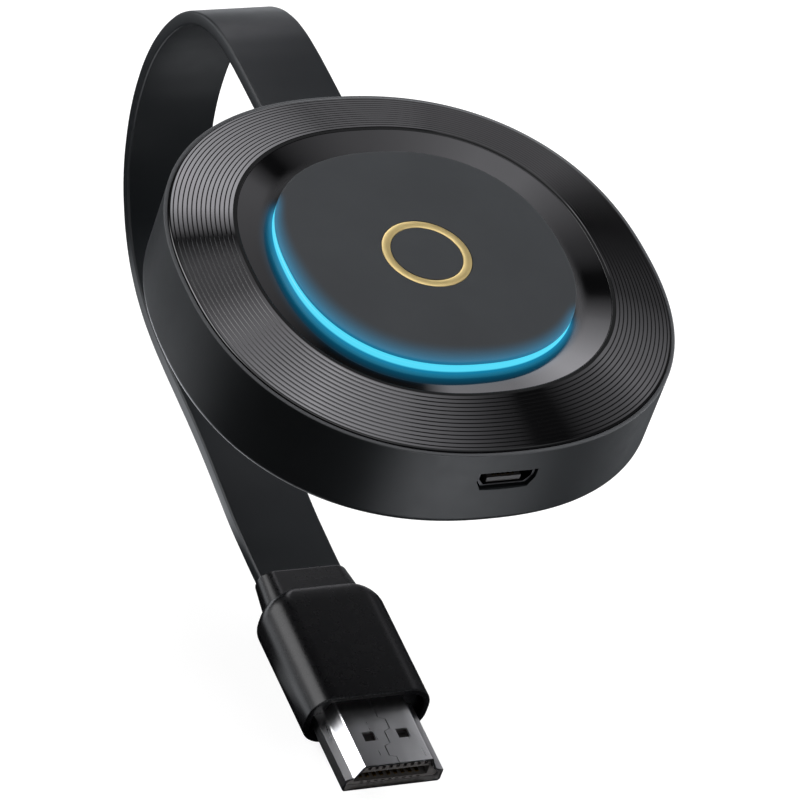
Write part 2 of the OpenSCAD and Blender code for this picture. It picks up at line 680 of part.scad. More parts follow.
module signal_wires() color([0.8, 0.5, 0.25]) in_puck() {
    low = board_top_z;
    bend_y = board_back_y + wire_step;
    section = [[tail_end_y, cable_exit_z - wire_t / 2], [tail_end_y, cable_exit_z + wire_t / 2],
        [bend_y + wire_t, cable_exit_z + wire_t / 2], [bend_y + wire_t, low + wire_t],
        [wire_end_y, low + wire_t], [wire_end_y, low], [bend_y, low], [bend_y, cable_exit_z - wire_t / 2]];
    for (i = [0:wire_n - 1]) translate([(i - (wire_n - 1) / 2) * wire_pitch - wire_w / 2, 0, 0])
        rotate([90, 0, 90]) linear_extrude(wire_w) polygon(section);
}

// Tangent of the route at its point i
function route_way(i) = let (n = len(route), d = route[min(i + 1, n - 1)] - route[max(i - 1, 0)]) d / norm(d);

module flat_cable() color([0.05, 0.05, 0.055]) loft([for (i = [0:len(route) - 1])
    let (c = route[i], t = i == 0 ? [1, 0] : i == len(route) - 1 ? [-1, 0] : route_way(i))
    [for (p = rounded(cable_w, cable_t, cable_edge_r, edge_n))
        [-p[0], c[0] - t[1] * p[1], c[1] + t[0] * p[1]]]]);

// Rounded section of the plug's mouldings, in the plane y
function moulding(w, h, r, y) = [for (p = rounded(w, h, min(r, h / 2 - fit_gap), corner_n)) [-p[0], y, p[1]]];

module cable_boot() color([0.06, 0.06, 0.065]) loft([
    moulding(boot_front[0], boot_front[1], boot_front_r, overmould_len),
    moulding(boot_back[0], boot_back[1], boot_back_r, overmould_len + boot_len - boot_edge),
    moulding(boot_back[0] - boot_edge, boot_back[1] - boot_edge, boot_back_r, overmould_len + boot_len)]);

module plug_overmould() color([0.06, 0.06, 0.065]) difference() {
    loft(concat(
        [moulding(overmould_w - 2 * overmould_edge, overmould_h - 2 * overmould_edge, overmould_r, 0),
            moulding(overmould_w, overmould_h, overmould_r, overmould_edge)],
        [for (i = [0:2 * edge_n]) let (a = 90 * i / (2 * edge_n))
            moulding(overmould_w - 2 * overmould_back_r * (1 - cos(a)),
                overmould_h - 2 * overmould_back_edge * (1 - cos(a)),
                overmould_r, overmould_len - overmould_back_r * (1 - sin(a)))]));
    along_y(-over, recess_depth)
        polygon(rounded(overmould_w - 2 * recess_rim, overmould_h - 2 * recess_rim, overmould_r - recess_rim,
            corner_n));
    along_y(0, plug_tail + fit_gap) polygon(plug_outline(fit_gap));
}

module plug_shell() color([0.78, 0.79, 0.81]) difference() {
    along_y(-plug_len, plug_tail) polygon(plug_outline(0));
    along_y(-plug_len - over, plug_tail + over) polygon(plug_outline(-plug_t));
    for (x = [-plug_latch_x, plug_latch_x])
        block([x, -plug_len + plug_latch_y], [plug_latch[0], plug_latch[1], plug_t + over],
            plug_h / 2 - plug_t - fit_gap);
}

module plug_insulator() color([0.04, 0.04, 0.045]) difference() {
    along_y(-plug_len + insulator_set_back, plug_tail) polygon(plug_outline(-plug_t - fit_gap));
    translate([-mouth_w / 2, -plug_len - over, mouth_z - mouth_h / 2])
        cube([mouth_w, mouth_depth + insulator_set_back + over, mouth_h]);
}

module plug_contacts() color([0.85, 0.68, 0.3]) {
    y0 = -plug_len + insulator_set_back + contact_set_back;
    long = mouth_depth - 2 * contact_set_back;
    rows = [[contact_count, mouth_z + mouth_h / 2 - contact_t], [contact_count - 1, mouth_z - mouth_h / 2]];
    for (row = rows) for (i = [0:row[0] - 1])
        translate([(i - (row[0] - 1) / 2) * contact_pitch - contact_w / 2, y0, row[1]])
            cube([contact_w, long, contact_t]);
}

base_shell();
ridged_ring();
dish_ring();
light_guide();
button_cap();
gold_ring();
main_board();
board_screws();
processor();
thermal_pad();
heat_spreader();
memory_chip();
flash_chip();
radio_shield();
antenna();
power_coil();
crystal_can();
chip_capacitors();
indicator_lamps();
switch_body();
switch_plunger();
power_socket_shell();
power_socket_tongue();
power_socket_contacts();
cable_tail();
cable_clamp();
clamp_screws();
signal_wires();
flat_cable();
cable_boot();
plug_overmould();
plug_shell();
plug_insulator();
plug_contacts();
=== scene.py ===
import json
import math

import bpy
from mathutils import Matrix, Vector


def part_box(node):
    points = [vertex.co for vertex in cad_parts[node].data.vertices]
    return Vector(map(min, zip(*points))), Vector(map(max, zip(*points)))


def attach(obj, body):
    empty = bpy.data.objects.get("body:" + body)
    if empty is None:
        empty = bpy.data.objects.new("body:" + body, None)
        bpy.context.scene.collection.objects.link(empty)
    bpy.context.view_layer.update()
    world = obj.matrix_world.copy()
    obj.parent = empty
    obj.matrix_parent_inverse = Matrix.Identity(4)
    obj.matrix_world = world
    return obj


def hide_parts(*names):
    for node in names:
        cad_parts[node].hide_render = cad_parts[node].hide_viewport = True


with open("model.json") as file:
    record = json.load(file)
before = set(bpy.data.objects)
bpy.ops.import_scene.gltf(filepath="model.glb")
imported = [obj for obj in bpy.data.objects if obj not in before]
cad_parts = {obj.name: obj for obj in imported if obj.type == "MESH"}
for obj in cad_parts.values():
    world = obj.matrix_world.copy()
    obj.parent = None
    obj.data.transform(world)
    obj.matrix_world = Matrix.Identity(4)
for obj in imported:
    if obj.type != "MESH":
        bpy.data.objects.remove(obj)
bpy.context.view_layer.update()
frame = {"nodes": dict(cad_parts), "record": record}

# A wireless display adapter: a puck with a ridged glossy ring, a lit push button and a power socket,
# and a short flat cable that loops down to a display plug. Sizes are in millimetres, and MM turns
# them into the scene's metres.
MM = 0.001

# Camera, as fitted to the photograph
CAMERA_AT = (-333.26, -447.14, 540.74)
CAMERA_TURN = (46.941, -15.19, -21.9)
CAMERA_LENS = 272.94

# Steps round a turned ring, along a small rounded edge and round a wide rounded corner
RING_STEPS = 288
EDGE_STEPS = 4
CORNER_STEPS = 10

# Reach of a cutter past what it cuts, and the sharpest bend in degrees that is shaded as a round
CUT = 0.5
SMOOTH_UP_TO = 32


def half_width(node):
    """Half of a node's width in millimetres."""
    low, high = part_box(node)
    return (high.x - low.x) / 2 / MM


def height_of(node, which):
    """Lowest (0) or highest (1) point of a node above the puck's underside."""
    return (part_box(node)[which].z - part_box("base_shell")[0].z) / MM


# The puck, from the frame: its centre on the underside, its half widths and its heights. SQUARENESS is
# the power of its rounded-square outline, where 2 is a circle.
base_low, base_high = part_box("base_shell")
PUCK = Vector((0, (base_low.y + base_high.y) / 2, base_low.z)) / MM
SQUARENESS = 2.28
PUCK_HW = half_width("base_shell")
WALL_H = height_of("base_shell", 1)
RING_HW = half_width("ridged_ring")
RING_TOP = height_of("ridged_ring", 1)
RING_LOW = height_of("ridged_ring", 0)
DISH_HW = half_width("dish_ring")
DISH_UNDER = height_of("dish_ring", 0)
GUIDE_TOP = height_of("light_guide", 1)
LIP_HW = half_width("button_cap")
BUTTON_TOP = height_of("button_cap", 1)
GOLD_LOW = height_of("gold_ring", 0)
GOLD_TOP = height_of("gold_ring", 1)
BOARD_LOW = height_of("main_board", 0)
BOARD_TOP = height_of("main_board", 1)

# Sizes that the pieces of the puck share
FIT_GAP = 0.05
WALL_T = 1.6
FLOOR_T = 1.5
FOOT_R = 1.2
RIM_T = 0.5
RING_SEAT = WALL_H - 0.845
CAVITY_HW = PUCK_HW - WALL_T
RING_IN_HW = DISH_HW + FIT_GAP
RING_EDGE = WALL_H + FIT_GAP
RING_T = 1.3
RIDGES = 14
RIDGE_H = 0.16
RING_LAND = 0.43
LEDGE_HW = RING_IN_HW - 1.05
LEDGE_TOP = RING_TOP - RING_T
LEDGE_UNDER = LEDGE_TOP - 0.9 * RING_T
DISH_W = 4.5
DISH_IN_HW = DISH_HW - DISH_W
DISH_LOW = RING_TOP - 1.05
GUIDE_OUT_HW = DISH_IN_HW - FIT_GAP
GUIDE_IN_HW = GUIDE_OUT_HW - 0.95
GUIDE_LOW = GUIDE_TOP - 3.05
BUTTON_HW = GUIDE_IN_HW - 0.25
BUTTON_TRAVEL = 0.4
LIP_LOW = GUIDE_TOP + BUTTON_TRAVEL + FIT_GAP
BUTTON_EDGE = LIP_LOW + 0.4
BUTTON_SKIRT_T = 1.1
GOLD_OUT_R, GOLD_IN_R = 5.8, 4.7
CABLE_DROP = 7


def outline_scale(x, y):
    """How far a point of a round piece moves outwards when the piece takes the puck's outline."""
    reach = math.hypot(x, y)
    if reach == 0:
        return 1
    return reach / (abs(x) ** SQUARENESS + abs(y) ** SQUARENESS) ** (1 / SQUARENESS)


def on_outline(half, bearing):
    """Point of the outline of a half width at a bearing in degrees, from the puck's centre."""
    x, y = math.cos(math.radians(bearing)), math.sin(math.radians(bearing))
    scale = outline_scale(x, y) * half
    return Vector((x * scale, y * scale))


def arc(centre, radius, start, end, steps):
    """Points of an arc in the plane of a profile, with angles in degrees."""
    angles = [math.radians(start + (end - start) * i / steps) for i in range(steps + 1)]
    return [(centre[0] + radius * math.cos(a), centre[1] + radius * math.sin(a)) for a in angles]


# Mesh tools


def activate(piece, *others):
    bpy.ops.object.select_all(action="DESELECT")
    for each in (piece, *others):
        each.select_set(True)
    bpy.context.view_layer.objects.active = piece


def named(name):
    piece = bpy.context.object
    piece.name = piece.data.name = name
    return piece


def apply_place(piece):
    activate(piece)
    bpy.ops.object.transform_apply(location=True, rotation=True, scale=True)


def pick(piece, kind, test):
    """Leaves edit mode on, with the faces, edges or vertices selected that pass a test of their middle
    in millimetres and of their direction."""
    activate(piece)
    bpy.ops.object.mode_set(mode="EDIT")
    bpy.ops.mesh.select_mode(type=kind)
    bpy.ops.mesh.select_all(action="DESELECT")
    bpy.ops.object.mode_set(mode="OBJECT")
    mesh = piece.data
    if kind == "FACE":
        for face in mesh.polygons:
            face.select = test(face.center / MM, face.normal)
    elif kind == "EDGE":
        for edge in mesh.edges:
            a, b = (mesh.vertices[i].co for i in edge.vertices)
            edge.select = test((a + b) / 2 / MM, (b - a).normalized())
    else:
        for vertex in mesh.vertices:
            vertex.select = test(vertex.co / MM, vertex.normal)
    bpy.ops.object.mode_set(mode="EDIT")


def done():
    bpy.ops.object.mode_set(mode="OBJECT")


def smooth(piece, weighted):
    """Smooths the rounded edges. Weighting keeps the broad flat faces between them even."""
    activate(piece)
    bpy.ops.object.shade_smooth_by_angle(angle=math.radians(SMOOTH_UP_TO))
    if weighted:
        even = piece.modifiers.new("even", "WEIGHTED_NORMAL")
        even.keep_sharp = True
        bpy.ops.object.modifier_apply(modifier=even.name)


def tidy(piece):
    """Closes seams and poles, and turns every face outwards."""
    activate(piece)
    bpy.ops.object.mode_set(mode="EDIT")
    bpy.ops.mesh.select_all(action="SELECT")
    bpy.ops.mesh.remove_doubles(threshold=0.002 * MM)
    bpy.ops.mesh.dissolve_degenerate(threshold=0.0005 * MM)
    bpy.ops.mesh.normals_make_consistent(inside=False)
    done()


def drawn(name, points, start=None):
    """A line of edges through points in millimetres, drawn by extruding one vertex step by step."""
    bpy.ops.object.select_all(action="DESELECT")
    bpy.ops.mesh.primitive_plane_add(size=MM, location=(0, 0, 0))
    piece = named(name)
    bpy.ops.object.mode_set(mode="EDIT")
    bpy.ops.mesh.select_mode(type="VERT")
    bpy.ops.mesh.select_all(action="SELECT")
    bpy.ops.mesh.merge(type="CENTER")
    bpy.ops.transform.translate(value=Vector(points[0]) * MM)
    for a, b in zip(points, points[1:]):
        step = (Vector(b) - Vector(a)) * MM
        bpy.ops.mesh.extrude_vertices_move(TRANSFORM_OT_translate={"value": step})
    done()
    return piece


def turned(name, profile, steps=RING_STEPS, squared=True):
    """A ring or disc of the puck: a closed profile of half widths and heights, spun round the puck's
    axis and drawn out to the puck's outline."""
    points = [PUCK + Vector((w, 0, z)) for w, z in (*profile, profile[0])]
    piece = drawn(name, points)
    bpy.ops.object.mode_set(mode="EDIT")
    bpy.ops.mesh.select_all(action="SELECT")
    bpy.ops.mesh.spin(steps=steps, angle=math.tau, center=PUCK * MM, axis=(0, 0, 1))
    done()
    tidy(piece)
    if squared:
        for vertex in piece.data.vertices:
            x, y = vertex.co.x - PUCK.x * MM, vertex.co.y - PUCK.y * MM
            scale = outline_scale(x, y)
            vertex.co.x = PUCK.x * MM + x * scale
            vertex.co.y = PUCK.y * MM + y * scale
    return piece


def block(name, low, high):
    """A box between two corners in millimetres."""
    low, high = Vector(low), Vector(high)
    bpy.ops.object.select_all(action="DESELECT")
    bpy.ops.mesh.primitive_cube_add(size=1, location=(low + high) / 2 * MM, scale=(high - low) * MM)
    piece = named(name)
    apply_place(piece)
    return piece


def post(name, foot, radius, height, sides=48):
    """An upright cylinder that stands on a point in millimetres."""
    middle = Vector(foot) + Vector((0, 0, height / 2))
    bpy.ops.object.select_all(action="DESELECT")
    bpy.ops.mesh.primitive_cylinder_add(
        vertices=sides, radius=radius * MM, depth=height * MM, location=middle * MM)
    piece = named(name)
    apply_place(piece)
    return piece


def in_puck(x, y, z):
    return PUCK + Vector((x, y, z))


def prism(name, outline, depth):
    """An outline of points in millimetres, filled and drawn out along a vector."""
    piece = drawn(name, [*outline, outline[0]])
    tidy(piece)
    bpy.ops.object.mode_set(mode="EDIT")
    bpy.ops.mesh.select_all(action="SELECT")
    bpy.ops.mesh.edge_face_add()
    bpy.ops.mesh.extrude_region_move(TRANSFORM_OT_translate={"value": Vector(depth) * MM})
    done()
    tidy(piece)
    return piece


def joined(first, *others):
    if others:
        activate(first, *others)
        bpy.ops.object.join()
    return first


def boolean(piece, operation, *tools):
    """Adds tools to a piece or cuts them out of it, and removes them."""
    tool = joined(*tools)
    change = piece.modifiers.new("boolean", "BOOLEAN")
    change.operation = operation
    change.solver = "EXACT"
    change.object = tool
    activate(piece)
    bpy.ops.object.modifier_apply(modifier=change.name)
    bpy.data.objects.remove(tool)
    return piece


def rounded(w, h, r, steps=CORNER_STEPS):
    """Rounded rectangle round (0, 0), anticlockwise."""
    x, y = w / 2 - r, h / 2 - r
    return [p for i, (cx, cy) in enumerate(((x, y), (-x, y), (-x, -y), (x, -y)))
            for p in arc((cx, cy), r, 90 * i, 90 * i + 90, steps)]


# Materials


class Flow:
    """A number, colour or vector on its way through a material's nodes. Arithmetic on it adds Math
    nodes, and node() adds any other node."""

    def __init__(self, tree, socket):
        self.tree, self.socket = tree, socket

    def node(self, kind, settings=None, inputs=None, output=0):
        return add_node(self.tree, kind, settings, inputs, output)

    def beside(self, output):
        """Another output of the same node."""
        return Flow(self.tree, self.socket.node.outputs[output])

    def math(self, operation, *values):
        return self.node("ShaderNodeMath", {"operation": operation}, dict(enumerate(values)))

    def __add__(self, other):
        return self.math("ADD", self, other)

    def __sub__(self, other):
        return self.math("SUBTRACT", self, other)

    def __mul__(self, other):
        return self.math("MULTIPLY", self, other)

    def __truediv__(self, other):
        return self.math("DIVIDE", self, other)

    def __pow__(self, other):
        return self.math("POWER", self, other)

    def __rsub__(self, other):
        return self.math("SUBTRACT", other, self)

    def __rtruediv__(self, other):
        return self.math("DIVIDE", other, self)

    def __neg__(self):
        return 0 - self

    def __abs__(self):
        return self.math("ABSOLUTE", self)

    __radd__, __rmul__ = __add__, __mul__

    def between(self, low, high, rise="SMOOTHSTEP"):
        """Rises from 0 at low to 1 at high, smoothly or evenly."""
        return self.node("ShaderNodeMapRange", {"interpolation_type": rise},
                         {"Value": self, "From Min": low, "From Max": high})


def add_node(tree, kind, settings=None, inputs=None, output=0):
    """Adds a node of a type, with its settings and ramp stops first and then the values or links of
    its sockets, and gives one of its outputs."""
    made = tree.nodes.new(kind)
    for name, value in (settings or {}).items():
        if name == "stops":
            ramp = made.color_ramp.elements
            while len(ramp) < len(value):
                ramp.new(1)
            for stop, (at, colour) in zip(ramp, value):
                stop.position = at
                stop.color = (*colour, 1)
        else:
            setattr(made, name, value)
    for name, value in (inputs or {}).items():
        feed(tree, made.inputs[name], value)
    return Flow(tree, made.outputs[output])


def feed(tree, socket, value):
    """Links a flow to a socket, or sets the socket's own value."""
    if isinstance(value, Flow):
        tree.links.new(value.socket, socket)
    elif socket.type == "RGBA":
        socket.default_value = (*value, 1)
    else:
        socket.default_value = value


def mixed(tree, amount, first, second):
    """A colour between two, by an amount from 0 to 1."""
    return add_node(tree, "ShaderNodeMix", {"data_type": "RGBA"}, {0: amount, 6: first, 7: second}, output=2)


def parts_of(tree, vector):
    """The three numbers of a vector."""
    x = add_node(tree, "ShaderNodeSeparateXYZ", {}, {"Vector": vector})
    return x, x.beside(1), x.beside(2)


class Finish:
    """A material on the Principled shader, with the patterns that this object's finishes share."""

    def __init__(self, name, **values):
        self.material = bpy.data.materials.new(name)
        self.material.use_nodes = True
        self.tree = self.material.node_tree
        self.shader = self.tree.nodes["Principled BSDF"]
        self.set(**values)

    def set(self, **values):
        for name, value in values.items():
            feed(self.tree, self.shader.inputs[name.replace("_", " ")], value)

    def node(self, *args, **kwargs):
        return add_node(self.tree, *args, **kwargs)

    def place(self, centre=(0, 0, 0), stretch=(1, 1, 1)):
        """Object coordinates in millimetres about a centre."""
        spot = self.node("ShaderNodeTexCoord", output=3)
        scale = [s / MM for s in stretch]
        shift = [-c * s for c, s in zip(centre, stretch)]
        return self.node("ShaderNodeMapping", {}, {"Vector": spot, "Scale": scale, "Location": shift})

    def noise(self, size, detail=3, spot=None):
        """Soft noise whose lumps are about size millimetres across."""
        inputs = {"Vector": spot or self.place(), "Scale": 1 / size, "Detail": detail}
        return self.node("ShaderNodeTexNoise", {}, inputs)

    def blend(self, amount, first, second):
        """A colour between two, by an amount from 0 to 1."""
        return mixed(self.tree, amount, first, second)

    def bump(self, height, depth):
        """Normal of a height pattern whose range stands for a depth in millimetres."""
        return self.node("ShaderNodeBump", {}, {"Height": height, "Distance": depth * MM, "Strength": 1})

    def puck_height(self):
        """Height above the puck's underside."""
        return parts_of(self.tree, self.place(PUCK))[2]

    def puck_spot(self):
        """Side, depth and half width of a point's place on the puck's outline, from its centre."""
        x, y, _ = parts_of(self.tree, self.place(PUCK))
        reach = (abs(x) ** SQUARENESS + abs(y) ** SQUARENESS) ** (1 / SQUARENESS)
        return x, y, reach


def moulded(name, colour, roughness, grain=0.12, grain_depth=0.004, shine=0.25):
    """Moulded plastic with a fine even grain and a faint drift of colour and sheen."""
    finish = Finish(name, Specular_IOR_Level=shine)
    shade, drift = 0.16, finish.noise(7, 4)
    dark, light = (tuple(c * (1 + side * shade) for c in colour) for side in (-1, 1))
    finish.colour = finish.blend(drift, dark, light)
    finish.set(Base_Color=finish.colour)
    finish.set(Roughness=roughness + 0.08 * (finish.noise(1.8) - 0.5))
    finish.set(Normal=finish.bump(finish.noise(grain, 2), grain_depth))
    return finish


def shell_black():
    """The base's matt black, with a painted highlight: its colour is paler along the upper edge of its wall.
    """
    finish = moulded("shell_black", (0.010, 0.011, 0.012), 0.38, grain=0.15, grain_depth=0.007, shine=0.1)
    # Painted highlight: the base colour turns paler along the wall's upper edge, standing in for the light
    # that the edge catches.
    rim = finish.puck_height().between(WALL_H - 0.2, WALL_H - 0.05)
    finish.set(Base_Color=finish.blend(rim, finish.colour, (0.07, 0.072, 0.076)))
    return finish


def gloss_black():
    """The gloss black of the ring and the dish, which is duller close to the light line."""
    finish = Finish("gloss_black", Specular_IOR_Level=0.5)
    finish.set(Base_Color=finish.blend(finish.noise(9), (0.002, 0.002, 0.0022), (0.004, 0.004, 0.0043)))
    x, y, reach = finish.puck_spot()
    dull_w = 2.2
    by_light = 1 - reach.between(GUIDE_OUT_HW, GUIDE_OUT_HW + dull_w)
    finish.set(Roughness=0.045 + 0.03 * finish.noise(2.5, 4) + 0.3 * by_light)
    finish.set(Normal=finish.bump(finish.noise(0.8, 3), 0.0004))
    return finish


# Way from the puck's centre to the middle of the lit stretch of the light line, and its colours
LIGHT_BEARING = math.radians(234)
LIGHT_MIDDLE = (math.cos(LIGHT_BEARING), math.sin(LIGHT_BEARING))
CYAN = (0.0, 0.17, 0.32)
CYAN_CORE = (0.09, 0.70, 0.93)
# Painted glow: emission colours painted on the dish and the button beside the light line
DISH_PAINTED_GLOW = (0.0, 0.19, 0.37)
BUTTON_PAINTED_GLOW = (0.0, 0.15, 0.28)


def toward_light(x, y, reach):
    """1 in the middle of the lit stretch of the light line, 0 at its ends and less beyond them."""
    return (x * LIGHT_MIDDLE[0] + y * LIGHT_MIDDLE[1]) / reach


def add_painted_glow(finish, colour, line, inner, outer, fall):
    """Painted glow: blue emission painted on the pieces beside the light line, standing in for the light
    that spills from it. It fades over inner and outer millimetres on its two sides, faster with a higher
    fall, and over less towards the ends of the lit stretch."""
    x, y, reach = finish.puck_spot()
    toward = toward_light(x, y, reach)
    away = (reach - line) / (0.3 + 0.7 * toward.between(-0.1, 1, "LINEAR"))
    painted_spill = (1 - (-away).between(0, inner, "LINEAR")) * (1 - away.between(0, outer, "LINEAR"))
    strength = (painted_spill ** fall) * toward.between(-0.1, 0.1)
    finish.set(Emission_Color=finish.blend(strength, (0, 0, 0), colour), Emission_Strength=1.0)
    return finish


def make_finishes():
    """Every material by the name of its slot."""
    made = {}
    made["shell_black"] = shell_black()
    # The dish and the button get a painted glow of emission beside the light line.
    made["gloss_black"] = add_painted_glow(gloss_black(), DISH_PAINTED_GLOW, GUIDE_OUT_HW, 1, 4.5, 3)
    button = moulded("button_black", (0.027, 0.029, 0.031), 0.5, grain=0.12, grain_depth=0.005, shine=0.17)
    made["button_black"] = add_painted_glow(button, BUTTON_PAINTED_GLOW, LIP_HW, 3.6, 1, 2)
    made["cable_black"] = moulded("cable_black", (0.006, 0.007, 0.008), 0.38, grain=0.25, shine=0.22)
    made["grip_black"] = moulded("grip_black", (0.004, 0.004, 0.0045), 0.27, grain=0.15, shine=0.24)
    made["insulator_black"] = moulded("insulator_black", (0.085, 0.08, 0.078), 0.6, grain=0.3)
    made["socket_plastic"] = moulded("socket_plastic", (0.035, 0.033, 0.034), 0.5)
    made["clamp_black"] = moulded("clamp_black", (0.03, 0.03, 0.032), 0.5)
    made["chip_black"] = moulded("chip_black", (0.02, 0.02, 0.022), 0.6, grain=0.06)
    made["pad_grey"] = moulded("pad_grey", (0.27, 0.34, 0.42), 0.75, grain=0.5, grain_depth=0.03)
    made["ceramic"] = moulded("ceramic", (0.34, 0.24, 0.14), 0.45, grain=0.2)
    made["plunger_cream"] = moulded("plunger_cream", (0.68, 0.63, 0.53), 0.45)
    made["lamp_white"] = moulded("lamp_white", (0.78, 0.86, 0.9), 0.2, grain=0.3, shine=0.5)
    made["light_cyan"] = lit_guide()
    made["gold"] = metal("gold", (0.84, 0.655, 0.29), 0.34, 0.10)
    made["contact_gold"] = metal("contact_gold", (0.80, 0.58, 0.24), 0.25, 0.10)
    made["copper"] = metal("copper", (0.76, 0.36, 0.17), 0.3, 0.12)
    made["plug_steel"] = metal("plug_steel", (0.9, 0.9, 0.91), 0.3, 0.12)
    # socket_steel is near black as painted shade, standing in for the shadow inside the power socket's port.
    made["socket_steel"] = metal("socket_steel", (0.02, 0.02, 0.021), 0.4, 0.12)
    made["steel"] = metal("steel", (0.58, 0.58, 0.6), 0.3, 0.12)
    made["can_tin"] = metal("can_tin", (0.62, 0.62, 0.62), 0.38, 0.15)
    made["aluminium"] = metal("aluminium", (0.72, 0.73, 0.75), 0.4, 0.15)
    made["board_green"] = board_finish()
    return {name: finish.material for name, finish in made.items()}


def metal(name, colour, roughness, spread):
    """Plated metal with a faint drift of tone and fine rolling marks."""
    finish = Finish(name, Metallic=1.0)
    dark = tuple(c * 0.86 for c in colour)
    finish.set(Base_Color=finish.blend(finish.noise(3, 5), dark, colour))
    streaks = finish.noise(0.4, 3, spot=finish.place(stretch=(1, 0.08, 1)))
    finish.set(Roughness=roughness + spread * (streaks - 0.5))
    finish.set(Normal=finish.bump(streaks, 0.001))
    return finish


def lit_guide():
    """Clear light guide, lit from its lamps on two sides of the button and dark on the others."""
    finish = Finish("light_cyan", Roughness=0.25, Emission_Strength=1.0)
    x, y, reach = finish.puck_spot()
    core = finish.puck_height().between(DISH_LOW - 0.1, DISH_LOW + 0.25)
    finish.set(Base_Color=finish.blend(finish.noise(2), (0.012, 0.03, 0.035), (0.02, 0.045, 0.05)))
    lit = toward_light(x, y, reach).between(-0.12, 0.12)
    finish.set(Emission_Color=finish.blend(lit, (0, 0, 0), finish.blend(core, CYAN, CYAN_CORE)))
    return finish


def board_finish():
    """Green solder mask over copper tracks, which show as a faint net of lines."""
    finish = Finish("board_green", Roughness=0.35)
    cells = finish.node("ShaderNodeTexVoronoi", {"feature": "DISTANCE_TO_EDGE"},
                        {"Vector": finish.place(), "Scale": 0.5})
    track = 1 - cells.between(0.04, 0.1)
    green = finish.blend(track, (0.008, 0.085, 0.035), (0.02, 0.16, 0.07))
    finish.set(Base_Color=green, Normal=finish.bump(track, 0.03))
    return finish


# The pieces of the puck


def posts_at(name, places, low, high, radius):
    return [post(name, in_puck(p.x, p.y, low), radius, high - low) for p in places]


BOARD_GAP, SCREW_INSET, CLAMP_INSET = 1.4, 5.75, 6.2
SCREW_PLACES = [on_outline(CAVITY_HW - BOARD_GAP - SCREW_INSET, a) for a in (38.3, 141.7, 218.3, 321.7)]
CLAMP_PLACES = [Vector((x, PUCK_HW - CLAMP_INSET)) for x in (-8.9, 8.9)]


def socket_outline(grow):
    """Outside of the power socket's mouth, wide side up, with its corners in X and Z."""
    low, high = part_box("power_socket_shell")
    w = (high.x - low.x) / 2 / MM
    z0, z1 = low.z / MM - grow, high.z / MM + grow
    slope_w, shoulder_h = 0.8, 1.2
    shoulder = high.z / MM - shoulder_h
    side, narrow = w + grow, w - slope_w + grow
    return [(-narrow, z0), (narrow, z0), (side, shoulder), (side, z1), (-side, z1), (-side, shoulder)]


def funnel(name, outline, mouth, y_mouth, y_flare, y_end):
    """A cutter that opens wider at its mouth, which chamfers the hole that it cuts."""
    piece = prism(name, [(x, y_flare, z) for x, z in outline], (0, y_end - y_flare, 0))
    side = 1 if y_mouth > y_flare else -1
    pick(piece, "FACE", lambda at, way: way.y * side > 0.9)
    bpy.ops.mesh.extrude_region_move(TRANSFORM_OT_translate={"value": (0, (y_mouth - y_flare) * MM, 0)})
    xs, zs = [p[0] for p in outline], [p[1] for p in outline]
    wide, tall = max(xs) - min(xs), max(zs) - min(zs)
    bpy.ops.transform.resize(value=((wide + 2 * mouth) / wide, 1, (tall + 2 * mouth) / tall))
    done()
    return piece


